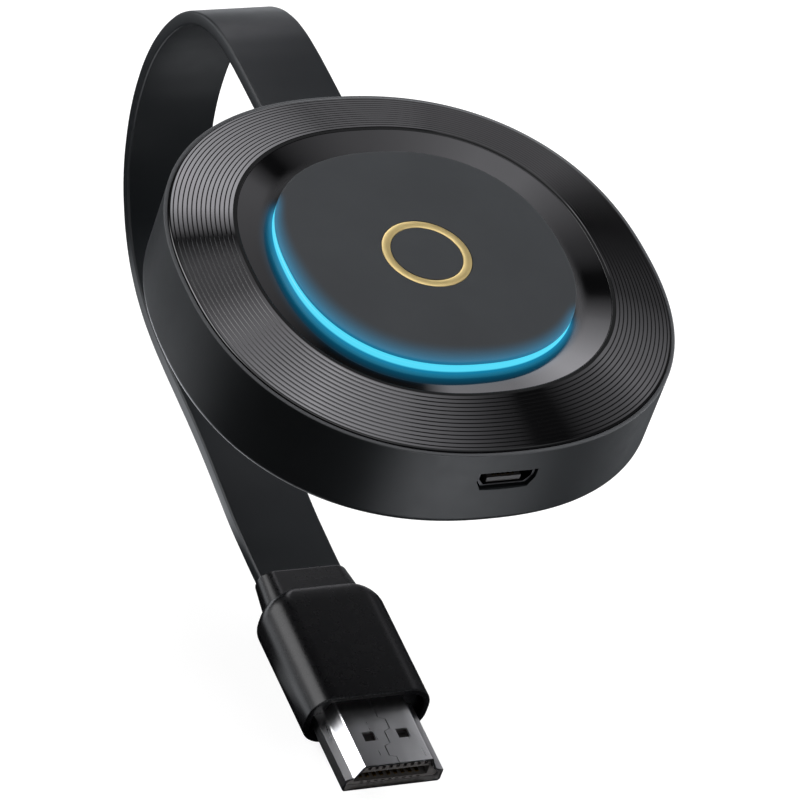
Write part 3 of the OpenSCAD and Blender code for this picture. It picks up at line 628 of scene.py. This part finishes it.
def base_shell():
    """The base: its floor, wall and rim, with the screw posts, the cable's cradle, the power socket's
    port, the cable's slot and the vents."""
    edge = 0.12
    profile = [(0, 0), (PUCK_HW - FOOT_R, 0)]
    profile += arc((PUCK_HW - FOOT_R, FOOT_R), FOOT_R, -90, 0, 2 * EDGE_STEPS)[1:]
    profile += arc((PUCK_HW - edge, WALL_H - edge), edge, 0, 90, EDGE_STEPS)
    profile += arc((PUCK_HW - RIM_T + edge, WALL_H - edge), edge, 90, 180, EDGE_STEPS)
    profile += [(PUCK_HW - RIM_T, RING_SEAT), (CAVITY_HW, RING_SEAT), (CAVITY_HW, FLOOR_T), (0, FLOOR_T)]
    piece = turned("base_shell_moulding", profile)

    cradle_w, cradle_depth, cable_t = 12, 3.6, 2.2
    screw_post_r, clamp_post_r, pilot_r = 2.6, 2, 0.85
    exit_z = WALL_H - CABLE_DROP
    clamp_y = CLAMP_PLACES[0].y
    added = posts_at("post", SCREW_PLACES, FLOOR_T - FIT_GAP, BOARD_LOW, screw_post_r)
    added += posts_at("post", CLAMP_PLACES, FLOOR_T - FIT_GAP, exit_z + cable_t / 2, clamp_post_r)
    cradle_low = in_puck(-cradle_w / 2, clamp_y - cradle_depth / 2, FLOOR_T - FIT_GAP)
    cradle_high = in_puck(cradle_w / 2, clamp_y + cradle_depth / 2, exit_z - cable_t / 2 - FIT_GAP)
    added.append(block("cradle", cradle_low, cradle_high))
    boolean(piece, "UNION", *added)

    front, back = PUCK.y - PUCK_HW, PUCK.y + PUCK_HW
    chamfer, port_gap = 0.16, 0.15
    slot_w, slot_h, slot_r = 12.2, 2.4, 0.9
    port = funnel("port", socket_outline(port_gap), CUT + chamfer, front - CUT, front + chamfer,
                  front + WALL_T + CUT)
    slot = [(x, PUCK.z + exit_z + z) for x, z in rounded(slot_w, slot_h, slot_r)]
    cable_slot = funnel("slot", slot, CUT + chamfer, back + CUT, back - chamfer, back - WALL_T - CUT)
    vent_w, vent_len, vent_pitch, vent_n = 1.2, 15, 2.8, 7
    board_hw, vent_share = 29, 0.33
    vent_y = vent_share * board_hw
    vents = []
    for i in range(vent_n):
        x = (i - (vent_n - 1) / 2) * vent_pitch
        outline = rounded(vent_w, vent_len + vent_w, vent_w / 2 - 0.001)
        points = [in_puck(x + a, vent_y + b, -CUT) for a, b in outline]
        vents.append(prism("vent", points, (0, 0, FLOOR_T + 2 * CUT)))
    pilot_depth, clamp_pilot_low, clamp_pilot_top = 4.5, 3.65, 8
    pilots = posts_at("pilot", SCREW_PLACES, BOARD_TOP - pilot_depth, BOARD_TOP, pilot_r)
    pilots += posts_at("pilot", CLAMP_PLACES, clamp_pilot_low, clamp_pilot_top, pilot_r)
    boolean(piece, "DIFFERENCE", port, cable_slot, *vents, *pilots)
    return piece


def ring_surface(w):
    """Height of the ring's slope at a half width."""
    return RING_EDGE + (RING_TOP - RING_EDGE) * (RING_HW - w) / (RING_HW - RING_IN_HW)


# One ridge from the middle of a groove to the next: share of the pitch, and share of the ridge's height
RIDGE = [(0, 0.35), (0.05, 0.42), (0.14, 0.97), (0.5, 1), (0.86, 0.97), (0.95, 0.42)]


def ridged_ring():
    """The ring, with broad flat ridges that narrow grooves part."""
    pitch = (RING_HW - RING_IN_HW - RING_LAND) / RIDGES
    ridges = [(RING_HW, ring_surface(RING_HW) + 0.6 * RIDGE_H)]
    for i in range(RIDGES):
        for across, height in RIDGE[0 if i else 2:]:
            w = RING_HW - pitch * (i + across)
            ridges.append((w, ring_surface(w) + RIDGE_H * height))
    edge = 0.06
    land = arc((RING_IN_HW + edge, RING_TOP - edge - 0.01), edge, 90, 180, EDGE_STEPS)
    skirt = CAVITY_HW - FIT_GAP
    profile = [(RING_HW, RING_SEAT + FIT_GAP), *ridges, *land, (RING_IN_HW, LEDGE_TOP),
               (LEDGE_HW, LEDGE_TOP), (LEDGE_HW, LEDGE_UNDER), (RING_IN_HW + RING_T, LEDGE_UNDER),
               (skirt - RING_T, RING_SEAT - RING_T / 2), (skirt - RING_T, RING_LOW), (skirt, RING_LOW),
               (skirt, RING_SEAT + FIT_GAP)]
    return turned("ridged_ring_gloss", profile)


def dish_ring():
    """The dish, which falls in a slack curve from the ring to the light line."""
    drop, steps = RING_TOP - FIT_GAP - DISH_LOW, 16
    fall = []
    for i in range(steps + 1):
        out = 1 - i / steps
        fall.append((DISH_IN_HW + DISH_W * out, DISH_LOW + drop * (0.92 * out + 0.08 * out * out)))
    profile = [(DISH_IN_HW, DISH_UNDER), (LEDGE_HW - FIT_GAP, DISH_UNDER),
               (LEDGE_HW - FIT_GAP, LEDGE_TOP + FIT_GAP), (DISH_HW, LEDGE_TOP + FIT_GAP), *fall]
    return turned("dish_gloss", profile)


def light_guide():
    """The clear ring below the button's lip, with its flange and its posts to the lamps."""
    flange_w, flange_top = 1.2, DISH_UNDER - FIT_GAP
    flange_low = flange_top - 0.75
    edge = 0.12
    profile = [(GUIDE_IN_HW, flange_low), (GUIDE_IN_HW, GUIDE_LOW), (GUIDE_OUT_HW, GUIDE_LOW),
               (GUIDE_OUT_HW, flange_low),
               (GUIDE_OUT_HW + flange_w, flange_low), (GUIDE_OUT_HW + flange_w, flange_top),
               (GUIDE_OUT_HW, flange_top)]
    profile += arc((GUIDE_OUT_HW - edge, GUIDE_TOP - edge), edge, 0, 90, EDGE_STEPS)
    profile += arc((GUIDE_IN_HW + edge, GUIDE_TOP - edge), edge, 90, 180, EDGE_STEPS)
    piece = turned("light_guide_clear", profile)
    post_r = 0.9
    lamps = [on_outline(GUIDE_IN_HW + post_r, a) for a in (165, 185, 205, 245, 265, 288)]
    lamp_top = height_of("indicator_lamps", 1) + 0.3
    posts = posts_at("post", lamps, lamp_top, GUIDE_LOW + 0.3, post_r - FIT_GAP)
    return boolean(piece, "UNION", *posts)


def button_cap():
    """The crowned button with its lip, skirt, stem, ribs, stop tabs and the gold ring's seat."""
    skin_t, edge, steps = 1.2, 0.22, 24
    low = height_of("button_cap", 0)
    inner = BUTTON_HW - BUTTON_SKIRT_T
    under = BUTTON_EDGE - skin_t
    crown = BUTTON_TOP - BUTTON_EDGE
    profile = [(inner, low), (BUTTON_HW, low), (BUTTON_HW, LIP_LOW), (LIP_HW, LIP_LOW)]
    profile += arc((LIP_HW - edge, BUTTON_EDGE - edge), edge, 0, 90, 2 * EDGE_STEPS)
    for i in range(1, steps + 1):
        w = (LIP_HW - edge) * (1 - i / steps)
        profile.append((w, BUTTON_EDGE + crown * (1 - (w / (LIP_HW - edge)) ** 2.4)))
    profile += [(0, under), (inner, under)]
    piece = turned("button_moulding", profile)

    stem_r, rib_t, rib_h = 2, 1, 1.2
    plunger_top = height_of("switch_plunger", 1)
    added = [post("stem", in_puck(0, 0, plunger_top), stem_r, under - plunger_top + FIT_GAP)]
    added.append(block("rib", in_puck(-inner - FIT_GAP, -rib_t / 2, under - rib_h),
                       in_puck(inner + FIT_GAP, rib_t / 2, under + FIT_GAP)))
    added.append(block("rib", in_puck(-rib_t / 2, -inner - FIT_GAP, under - rib_h),
                       in_puck(rib_t / 2, inner + FIT_GAP, under + FIT_GAP)))
    for bearing in (45, 135, 225, 315):
        added.append(stop_tab(bearing, low))
    for tool in added:
        boolean(piece, "UNION", tool)
    return boolean(piece, "DIFFERENCE", gold_band("seat", grow=0.1, rise=CUT))


def stop_tab(bearing, low):
    """One of the button's tabs that stop it under the light guide."""
    tab_w, reach, tab_t = 6, 0.75, 0.7
    edge = on_outline(BUTTON_HW, bearing).length
    tab = block("tab", (edge - BUTTON_SKIRT_T, -tab_w / 2, 0), (edge + reach, tab_w / 2, tab_t))
    tab.rotation_euler.z = math.radians(bearing)
    tab.location = in_puck(0, 0, low) * MM
    apply_place(tab)
    return tab


def gold_band(name, grow=0, rise=0):
    """Round band of the gold ring with a crowned top, grown all round for its seat."""
    outer, inner, top = GOLD_OUT_R + grow, GOLD_IN_R - grow, GOLD_TOP + rise
    crown, steps = 0.05, 10
    profile = [(inner, GOLD_LOW), (outer, GOLD_LOW)]
    for i in range(steps + 1):
        across = i / steps
        profile.append((outer + (inner - outer) * across, top - crown * (2 * across - 1) ** 2))
    return turned(name, profile, steps=144, squared=False)


# The flat cable and the plug

CABLE_W, CABLE_T, CABLE_EDGE_R = 12, 1.9, 0.35

# The middle of the cable from the puck to the boot, in Y and Z
ROUTE = [(54.8, 50.3), (58.5, 50.3), (62.5, 50.3), (66.5, 50.3), (70.5, 50.2), (74.5, 49.8), (78.2, 48.8),
         (81.6, 47), (84.6, 44.3), (87, 40.8), (88.8, 36.8), (89.9, 32.5), (90.2, 28), (89.8, 23.5),
         (88.6, 19), (86.6, 14.6), (83.8, 10.8), (80.4, 7.6), (76.5, 5.2), (72.2, 3.6), (67.5, 2.7),
         (62.5, 2.3), (57, 2.1), (51.5, 1.9), (46, 1.5), (40.5, 0.9), (35, 0.3), (30.5, 0.1), (27, 0),
         (24.4, 0)]


def flat_cable():
    """The cable's rounded section, swept along its route as a curve and made a mesh."""
    section = bpy.data.curves.new("cable_section", "CURVE")
    outline = rounded(CABLE_W, CABLE_T, CABLE_EDGE_R, 6)
    spline = section.splines.new("POLY")
    spline.points.add(len(outline) - 1)
    for point, (x, y) in zip(spline.points, outline):
        point.co = (x * MM, y * MM, 0, 1)
    spline.use_cyclic_u = True
    section_object = bpy.data.objects.new("cable_section", section)
    bpy.context.scene.collection.objects.link(section_object)

    line = bpy.data.curves.new("flat_cable_jacket", "CURVE")
    line.dimensions = "3D"
    spline = line.splines.new("BEZIER")
    spline.bezier_points.add(len(ROUTE) - 1)
    for point, (y, z) in zip(spline.bezier_points, ROUTE):
        point.co = (0, y * MM, z * MM)
        point.handle_left_type = point.handle_right_type = "AUTO"
    line.resolution_u = 6
    line.bevel_mode = "OBJECT"
    line.bevel_object = section_object
    line.use_fill_caps = True
    piece = bpy.data.objects.new("flat_cable_jacket", line)
    bpy.context.scene.collection.objects.link(piece)
    activate(piece)
    bpy.ops.object.convert(target="MESH")
    bpy.data.objects.remove(section_object)
    piece = bpy.context.object
    tidy(piece)
    return piece


def rounded_bar(name, w, h, y0, y1, r):
    """A bar along Y with rounded long edges, centred on the plug's axis."""
    piece = block(name, (-w / 2, y0, -h / 2), (w / 2, y1, h / 2))
    pick(piece, "EDGE", lambda at, way: abs(way.y) > 0.9)
    bpy.ops.mesh.bevel(offset=r * MM, segments=CORNER_STEPS, profile=0.5)
    done()
    return piece


def grow_back(piece, steps):
    """Extrudes the back face of a bar step by step to given distances and scales."""
    y_back = max(v.co.y for v in piece.data.vertices) / MM
    pick(piece, "FACE", lambda at, way: way.y > 0.9 and at.y > y_back - 0.01)
    wide = tall = 1
    for y, w, h in steps:
        bpy.ops.mesh.extrude_region_move(TRANSFORM_OT_translate={"value": (0, (y - y_back) * MM, 0)})
        bpy.ops.transform.resize(value=(w / wide, 1, h / tall))
        y_back, wide, tall = y, w, h
    done()


def cable_boot():
    """The strain relief, which narrows to the cable."""
    y0, y1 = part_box("cable_boot")[0].y / MM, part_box("cable_boot")[1].y / MM
    w, h, edge = 14, 5.2, 0.35
    piece = rounded_bar("cable_boot_moulding", w, h, y0, y0 + edge, 2.3)
    back_w, back_h = 12.9 / w, 4.2 / h
    steps = [(y1 - edge, back_w, back_h)]
    for i in range(1, EDGE_STEPS + 1):
        a = math.pi / 2 * i / EDGE_STEPS
        trim = edge * (1 - math.cos(a))
        steps.append((y1 - edge + edge * math.sin(a), back_w - trim / w, back_h - trim / h))
    grow_back(piece, steps)
    return piece


def plug_overmould():
    """The plug's grip, rounded at its back, with a sunk front round the metal shell."""
    low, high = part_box("plug_overmould")
    w, h, length = (high.x - low.x) / MM, (high.z - low.z) / MM, high.y / MM
    back_r, back_edge, front_edge = 2.6, 0.3, 0.25
    piece = rounded_bar("plug_overmould_moulding", w, h, 0, length - back_r, 3.7)
    steps = []
    for i in range(1, CORNER_STEPS + 1):
        a = math.pi / 2 * i / CORNER_STEPS
        steps.append((length - back_r * (1 - math.sin(a)), 1 - 2 * back_r * (1 - math.cos(a)) / w,
                      1 - 2 * back_edge * (1 - math.cos(a)) / h))
    grow_back(piece, steps)
    pick(piece, "FACE", lambda at, way: way.y < -0.9)
    bpy.ops.mesh.bevel(offset=front_edge * MM, segments=EDGE_STEPS, profile=0.5)
    done()
    rim, depth = 0.8 - front_edge, 1.2
    pick(piece, "FACE", lambda at, way: way.y < -0.99)
    bpy.ops.mesh.inset(thickness=rim * MM)
    bpy.ops.mesh.extrude_region_move(TRANSFORM_OT_translate={"value": (0, depth * MM, 0)})
    done()
    tidy(piece)
    passage_len = 5.05
    passage = prism("passage", [(x, -CUT, z) for x, z in plug_outline(FIT_GAP)], (0, passage_len + CUT, 0))
    return boolean(piece, "DIFFERENCE", passage)


PLUG_W, PLUG_TOP_W, PLUG_H, PLUG_SIDE_H = 13.9, 9.7, 4.45, 2.05
PLUG_T, PLUG_TIP, PLUG_TAIL = 0.3, -10, 5
LATCH_W, LATCH_X, LATCH_Y = 1.6, (-2.4, 2.4), (-5.95, -4.45)


def plug_outline(grow):
    """Outside of the plug's metal shell in X and Z, narrow face up and anticlockwise."""
    w, h = PLUG_W / 2 + grow, PLUG_H / 2 + grow
    side = -PLUG_H / 2 + PLUG_SIDE_H
    foot, shoulder_w, shoulder_h = 0.3, 1.2, 0.4
    half = [(w - foot, -h), (w, -h + foot), (w, side + grow / 2),
            (PLUG_W / 2 - shoulder_w + grow, side + shoulder_h + grow / 2), (PLUG_TOP_W / 2 + grow / 2, h)]
    return half + [(-x, z) for x, z in reversed(half)]


def plug_shell():
    """The plug's shell: its outline as a sheet with bent edges, given its thickness, with two latch
    holes and the zigzag seam of the sheet metal on its upper face."""
    piece = prism("plug_shell_plating", [(x, PLUG_TIP, z) for x, z in plug_outline(0)],
                  (0, PLUG_TAIL - PLUG_TIP, 0))
    bend_r = 0.22
    pick(piece, "EDGE", lambda at, way: abs(way.y) > 0.9 and at.z > 0)
    bpy.ops.mesh.bevel(offset=bend_r * MM, segments=EDGE_STEPS, profile=0.5)
    done()
    pick(piece, "FACE", lambda at, way: abs(way.y) > 0.9)
    bpy.ops.mesh.delete(type="FACE")
    done()
    wall = piece.modifiers.new("wall", "SOLIDIFY")
    wall.thickness = PLUG_T * MM
    wall.offset = -1
    wall.use_even_offset = True
    activate(piece)
    bpy.ops.object.modifier_apply(modifier=wall.name)
    top, below = PLUG_H / 2, 0.15
    holes = [block("latch", (x - LATCH_W / 2, LATCH_Y[0], top - PLUG_T - below),
                   (x + LATCH_W / 2, LATCH_Y[1], top + CUT)) for x in LATCH_X]
    boolean(piece, "DIFFERENCE", *holes)
    boolean(piece, "DIFFERENCE", seam())
    tidy(piece)
    return piece


def seam():
    """Gap along the joint of the plug's sheet metal."""
    width, depth = 0.13, 0.4
    path = [(0, 1), (0, -2.2), (0.9, -2.6), (0.9, -4.2), (0, -4.6), (0, -6.6), (-0.9, -7.0), (-0.9, -8.6),
            (0, -9.0), (0, -10.5)]
    one = [(x - width / 2, y) for x, y in path]
    two = [(x + width / 2, y) for x, y in reversed(path)]
    return prism("seam", [(x, y, PLUG_H / 2 - depth) for x, y in one + two], (0, 0, depth + CUT))


def plug_insulator():
    """The plug's plastic core, with its mouth, the slots of its two rows of contacts in its face, and
    pockets below the latch holes."""
    face, back = PLUG_TIP + 0.7, PLUG_TAIL
    outline = plug_outline(-PLUG_T - FIT_GAP)
    piece = prism("plug_insulator_core", [(x, face, z) for x, z in outline], (0, back - face, 0))
    mouth_w, mouth_low, mouth_top, mouth_depth = 10.4, -1.4, 0.2, 7.2
    mouth = block("mouth", (-mouth_w / 2, face - CUT, mouth_low),
                  (mouth_w / 2, face + mouth_depth, mouth_top))
    slot_w, slots = 0.5, []
    for count, low, high, depth in ((10, 0.5, 1.35, 0.9), (9, -1.76, -1.52, 0.6)):
        for i in range(count):
            x = i - (count - 1) / 2
            slots.append(block("slot", (x - slot_w / 2, face - CUT, low),
                               (x + slot_w / 2, face + depth, high)))
    pocket_w, wider, below = 2, 0.1, 1.3
    pockets = [block("pocket", (x - pocket_w / 2, LATCH_Y[0] - wider, PLUG_H / 2 - below),
                     (x + pocket_w / 2, LATCH_Y[1] + wider, PLUG_H)) for x in LATCH_X]
    return boolean(piece, "DIFFERENCE", mouth, *slots, *pockets)


# Studio


def add_camera():
    bpy.ops.object.select_all(action="DESELECT")
    turn = [math.radians(angle) for angle in CAMERA_TURN]
    bpy.ops.object.camera_add(location=Vector(CAMERA_AT) * MM, rotation=turn)
    camera = bpy.context.object
    camera.data.lens = CAMERA_LENS
    camera.data.clip_start = 0.02
    bpy.context.scene.camera = camera


def seen_white(tree):
    """1 for what the camera sees of the floor, also through a clear piece, and 0 for its light."""
    path = add_node(tree, "ShaderNodeLightPath")
    return path.math("MAXIMUM", path, path.beside("Is Transmission Ray"))


# Cards of light that lie on the floor, which is black but for them in glossy surfaces. Each starts, is
# full, fades and ends at four bearings from the puck's centre and at four distances, and has a strength.
FLOOR_CARDS = [
    ((108, 122, 150, 178), (72, 82, 125, 140), 0.45),
    ((248, 266, 280, 310), (72, 84, 110, 124), 11),
    ((295, 325, 350, 380), (72, 84, 110, 124), 0.8),
    ((30, 50, 85, 105), (125, 160, 2400, 3000), 1),
    ((30, 45, 80, 95), (26, 34, 54, 66), 1.3),
    ((58, 66, 86, 100), (58, 70, 104, 120), 0.12),
    ((96, 108, 218, 236), (14, 20, 34, 42), 2.3),
    ((96, 108, 158, 172), (34, 42, 64, 72), 3.4),
    ((104, 116, 150, 165), (125, 140, 2400, 3000), 2.5)]
CARD_TINT = (0.97, 1, 1.05)


def floor_cards(finish):
    """Strength of the cards at a place on the floor."""
    x, y, _ = parts_of(finish.tree, finish.place(PUCK))
    bearing = y.math("ARCTAN2", y, x) * math.degrees(1)
    distance = (x * x + y * y) ** 0.5
    total = 0
    for bearings, (start, full, fade, end), strength in FLOOR_CARDS:
        reach = distance.between(start, full, "LINEAR") * (1 - distance.between(fade, end, "LINEAR"))
        total = total + panel_light(bearing, [(*bearings, strength)]) * reach
    return total


def add_floor():
    """A pale floor just below the plug, which shows white to the camera and keeps the shadow."""
    bpy.ops.object.select_all(action="DESELECT")
    floor_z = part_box("plug_overmould")[0].z - FIT_GAP * MM
    bpy.ops.mesh.primitive_plane_add(size=6, location=(0, 0, floor_z))
    floor = named("studio_floor")
    finish = Finish("floor_white", Roughness=0.9, Specular_IOR_Level=0.1, Emission_Strength=1.0)
    glossy = finish.node("ShaderNodeLightPath").beside("Is Glossy Ray")
    paper = finish.blend(finish.noise(60), (0.25, 0.25, 0.25), (0.27, 0.27, 0.27))
    finish.set(Base_Color=finish.blend(glossy, paper, (0, 0, 0)))
    cards = finish.node("ShaderNodeVectorMath", {"operation": "SCALE"},
                        {0: CARD_TINT, "Scale": floor_cards(finish) * glossy})
    finish.set(Emission_Color=finish.blend(seen_white(finish.tree), cards, (0.88, 0.88, 0.88)))
    floor.data.materials.append(finish.material)


def add_lamp(name, bearing, height, distance, size, power):
    """A soft square lamp that faces the puck from a bearing and a height in degrees."""
    turn, rise = math.radians(bearing), math.radians(height)
    way = Vector((math.cos(turn) * math.cos(rise), math.sin(turn) * math.cos(rise), math.sin(rise)))
    bpy.ops.object.select_all(action="DESELECT")
    bpy.ops.object.light_add(type="AREA", location=PUCK * MM + way * distance)
    lamp = bpy.context.object
    lamp.name = name
    lamp.data.size = size
    lamp.data.energy = power
    lamp.rotation_euler = (-way).to_track_quat("-Z", "Y").to_euler()
    lamp.visible_camera = False
    lamp.visible_glossy = False


# What glossy surfaces reflect. Each panel close to the camera's mirror image is named by the slope of
# the surface that shows it to the camera. It starts, is full, fades and ends at four bearings of that
# slope in degrees, and has a strength. The dish is less steep than SPLIT and the ring is steeper.
RING_PANELS = [(9, 27, 100, 130, 0.65), (68, 88, 100, 120, 0.17), (99, 146, 157, 168, 5.3),
               (168, 175, 186, 204, 0.95), (181, 220, 222, 275, 6.4), (282, 311, 312, 344, 1.85),
               (300, 325, 342, 364, 0.4)]
DISH_PANELS = [(71, 79, 150, 165, 1.65), (92, 112, 122, 152, 2.2), (174, 212, 232, 300, 2.3),
               (306, 319, 325, 395, 1)]
LEVEL, SPLIT, STEEPEST = 9.2, 13.8, 20
PANEL_TINT = (0.985, 0.975, 1.03)
TOP_LIGHT = (0.235, 0.24, 0.246)

# Soft boxes round the rest of the studio: span of bearings and of heights in degrees, width of the soft
# edge, and colour
SOFT_BOXES = [
    ((0, 360), (56, 90), 8, (0.7, 0.72, 0.74)),
    ((129, 262), (18, 70), 6, (1.3, 1.3, 1.34)),
    ((129, 180), (-12, 24), 4, (1.6, 1.6, 1.64)),
    ((116, 160), (14, 50), 6, (5.8, 5.8, 5.9))]
STUDIO_GREY = (0.06, 0.061, 0.063)
STUDIO_LIGHT = (0.12, 0.12, 0.122)
WHITE = (1, 1, 1)

# Bearing, height, distance, size and power of each lamp
LAMPS = {
    "lamp_left": (135, 22, 1.1, 0.5, 9), "lamp_right": (5, 8, 1.1, 0.5, 28),
    "lamp_top": (60, 72, 1.2, 0.8, 7.5), "lamp_front": (300, 10, 1.1, 0.5, 7)}


def soft_box(x, y, z, bearings, heights, soft):
    """1 in the directions of a soft box, and 0 out of it."""
    def rise(angle):
        return math.sin(math.radians(max(-90, min(90, angle))))

    inside = z.between(rise(heights[0] - soft), rise(heights[0] + soft))
    if heights[1] < 90:
        inside = inside * (1 - z.between(rise(heights[1] - soft), rise(heights[1] + soft)))
    half = (bearings[1] - bearings[0]) / 2
    if half < 180:
        middle = math.radians(sum(bearings) / 2)
        level = (x * x + y * y + 1e-6) ** 0.5
        toward = (x * math.cos(middle) + y * math.sin(middle)) / level
        far, near = math.cos(math.radians(half + soft)), math.cos(math.radians(half - soft))
        inside = inside * toward.between(far, near)
    return inside


def panel_light(bearing, panels):
    """Strength of a ring of panels at a bearing in degrees."""
    total = 0
    for start, full, fade, end, strength in panels:
        middle = (start + end) / 2
        off = bearing - middle
        off = off.math("WRAP", off, 180, -180)
        rise = off.between(start - middle, full - middle, "LINEAR")
        fall = 1 - off.between(fade - middle, end - middle, "LINEAR")
        total = total + strength * rise * fall
    return total


def add_world():
    """A studio that is white to the camera, and in reflections is grey with lights round the part."""
    world = bpy.data.worlds.new("studio")
    bpy.context.scene.world = world
    world.use_nodes = True
    tree = world.node_tree

    def vector(operation, inputs):
        return add_node(tree, "ShaderNodeVectorMath", {"operation": operation}, inputs)

    way = add_node(tree, "ShaderNodeTexCoord")
    x, y, z = parts_of(tree, way)
    mirrored = STUDIO_GREY
    for bearings, heights, soft, colour in SOFT_BOXES:
        mirrored = mixed(tree, soft_box(x, y, z, bearings, heights, soft), mirrored, colour)

    sight = (PUCK - Vector(CAMERA_AT) + Vector((0, 0, WALL_H))).normalized()
    slope = vector("NORMALIZE", {0: vector("SUBTRACT", {0: way, 1: sight})})
    x, y, z = parts_of(tree, slope)
    bearing = x.math("ARCTAN2", y, x) * math.degrees(1)

    def steeper(angle, soft):
        """0 for surfaces that slope less than an angle, and 1 for steeper ones."""
        return 1 - z.between(math.cos(math.radians(angle + soft)), math.cos(math.radians(angle - soft)))

    ring, dish = panel_light(bearing, RING_PANELS), panel_light(bearing, DISH_PANELS)
    strength = dish + (ring - dish) * steeper(SPLIT, 0.25)
    panels = vector("SCALE", {0: PANEL_TINT, "Scale": strength})
    panels = mixed(tree, steeper(LEVEL, 0.4), TOP_LIGHT, panels)
    mirrored = mixed(tree, steeper(STEEPEST, 1), panels, mirrored)

    path = add_node(tree, "ShaderNodeLightPath")
    colour = mixed(tree, path, STUDIO_LIGHT, WHITE)
    colour = mixed(tree, path.beside("Is Glossy Ray"), colour, mirrored)
    colour = mixed(tree, path.beside("Is Transmission Ray"), colour, WHITE)
    feed(tree, tree.nodes["Background"].inputs["Color"], colour)


def build_studio():
    bpy.context.scene.view_settings.view_transform = "Standard"
    add_camera()
    add_world()
    add_floor()
    for name, values in LAMPS.items():
        add_lamp(name, *values)


def main():
    build_studio()
    cable = flat_cable()
    finishes = make_finishes()
    slots = {part["node"]: part["material_slot"] for part in frame["record"]["subparts"]}
    pieces = {
        "flat_cable": cable, "cable_boot": cable_boot(), "plug_overmould": plug_overmould(),
        "plug_shell": plug_shell(), "plug_insulator": plug_insulator(), "base_shell": base_shell(),
        "ridged_ring": ridged_ring(), "dish_ring": dish_ring(), "light_guide": light_guide(),
        "button_cap": button_cap(), "gold_ring": gold_band("gold_ring_inlay")}
    for node, piece in pieces.items():
        smooth(piece, weighted=node in ("base_shell", "plug_overmould", "cable_boot"))
        piece.data.materials.clear()
        piece.data.materials.append(finishes[slots[node]])
        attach(piece, "button" if node in ("button_cap", "gold_ring") else "housing")
        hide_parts(node)
    for node, carried in frame["nodes"].items():
        for slot in carried.material_slots:
            slot.material = finishes[slots[node]]


main()
